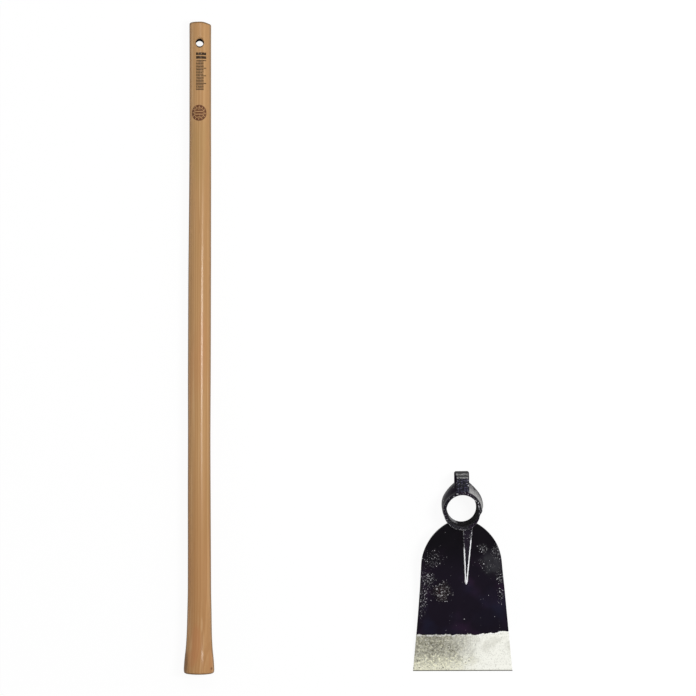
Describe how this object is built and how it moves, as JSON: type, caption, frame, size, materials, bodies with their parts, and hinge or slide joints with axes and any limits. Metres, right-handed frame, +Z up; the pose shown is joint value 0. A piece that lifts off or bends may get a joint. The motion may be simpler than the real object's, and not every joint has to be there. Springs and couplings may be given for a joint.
{
  "type": "garden hoe with a separate handle",
  "caption": "Heavy garden hoe laid out apart: a flared wooden handle with a hang hole, and a forged steel head with a tapered round eye, ribbed blade and bare ground edge.",
  "frame": {"origin": "middle of the space that the two pieces cover, on the surface that they lie on", "axes": "+Z up from the surface, which is also the way the head's outer side faces; +Y along the handle towards its thin end; +X from the handle to the head"},
  "size_m": [0.5408, 1.0673, 0.0553],
  "materials": {
    "lacquered_wood": "pale tan hardwood with lengthwise grain under a clear satin lacquer",
    "black_lacquer": "glossy black lacquer over hammered forged steel",
    "ground_steel": "bare steel, ground across the band, with forging pits left at one side"
  },
  "bodies": {
    "handle": {"handle": "lacquered_wood"},
    "head": {"eye_collar": "black_lacquer", "poll": "black_lacquer", "blade": "black_lacquer", "spine_rib": "black_lacquer", "cutting_edge": "ground_steel"}
  },
  "joints": [
    {"name": "head_lift", "type": "slide", "parent": "handle", "child": "head", "axis": [0, 0, 1], "range_m": [0, 0.3]}
  ]
}
